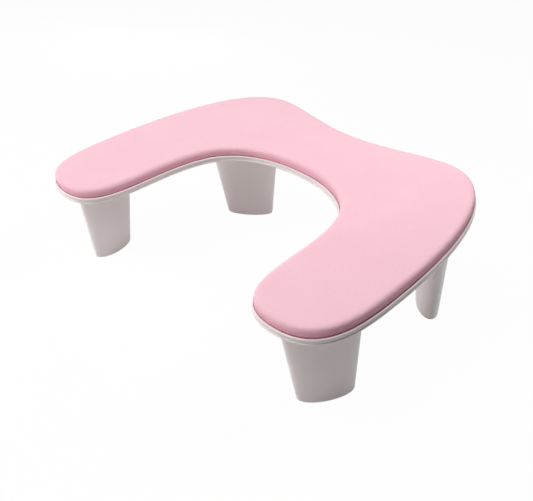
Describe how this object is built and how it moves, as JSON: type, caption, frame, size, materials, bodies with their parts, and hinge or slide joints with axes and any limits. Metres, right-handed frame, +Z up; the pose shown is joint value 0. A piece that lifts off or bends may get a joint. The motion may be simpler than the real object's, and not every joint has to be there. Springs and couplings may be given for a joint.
{
  "type": "hand rest",
  "caption": "Horseshoe-shaped padded hand rest with a sloping deck: a pink cushion set in a white moulded tray on tapered oval legs",
  "frame": {"origin": "bottom centre of the overall bounding box, on the surface the rubber feet stand on", "axes": "+X to the right across the arms, +Y from the open side to the back, +Z up"},
  "size_m": [0.52, 0.375, 0.1966],
  "materials": {
    "cover": "soft matt pink microfibre leather",
    "shell": "smooth satin white injection moulding",
    "foam": "open-cell foam",
    "board": "raw fibreboard",
    "foot": "matt non-slip rubber",
    "screw": "zinc-plated"
  },
  "bodies": {
    "root": {"tray": "shell", "pad_cover": "cover", "pad_foam": "foam", "pad_board": "board", "leg_front_left": "shell", "leg_front_right": "shell", "leg_back_left": "shell", "leg_back_right": "shell", "foot_front_left": "foot", "foot_front_right": "foot", "foot_back_left": "foot", "foot_back_right": "foot", "leg_screw_front_left_1": "screw", "leg_screw_front_left_2": "screw", "leg_screw_front_right_1": "screw", "leg_screw_front_right_2": "screw", "leg_screw_back_left_1": "screw", "leg_screw_back_left_2": "screw", "leg_screw_back_right_1": "screw", "leg_screw_back_right_2": "screw", "pad_screw_1": "screw", "pad_screw_2": "screw", "pad_screw_3": "screw", "pad_screw_4": "screw", "pad_screw_5": "screw", "pad_screw_6": "screw"}
  },
  "joints": []
}
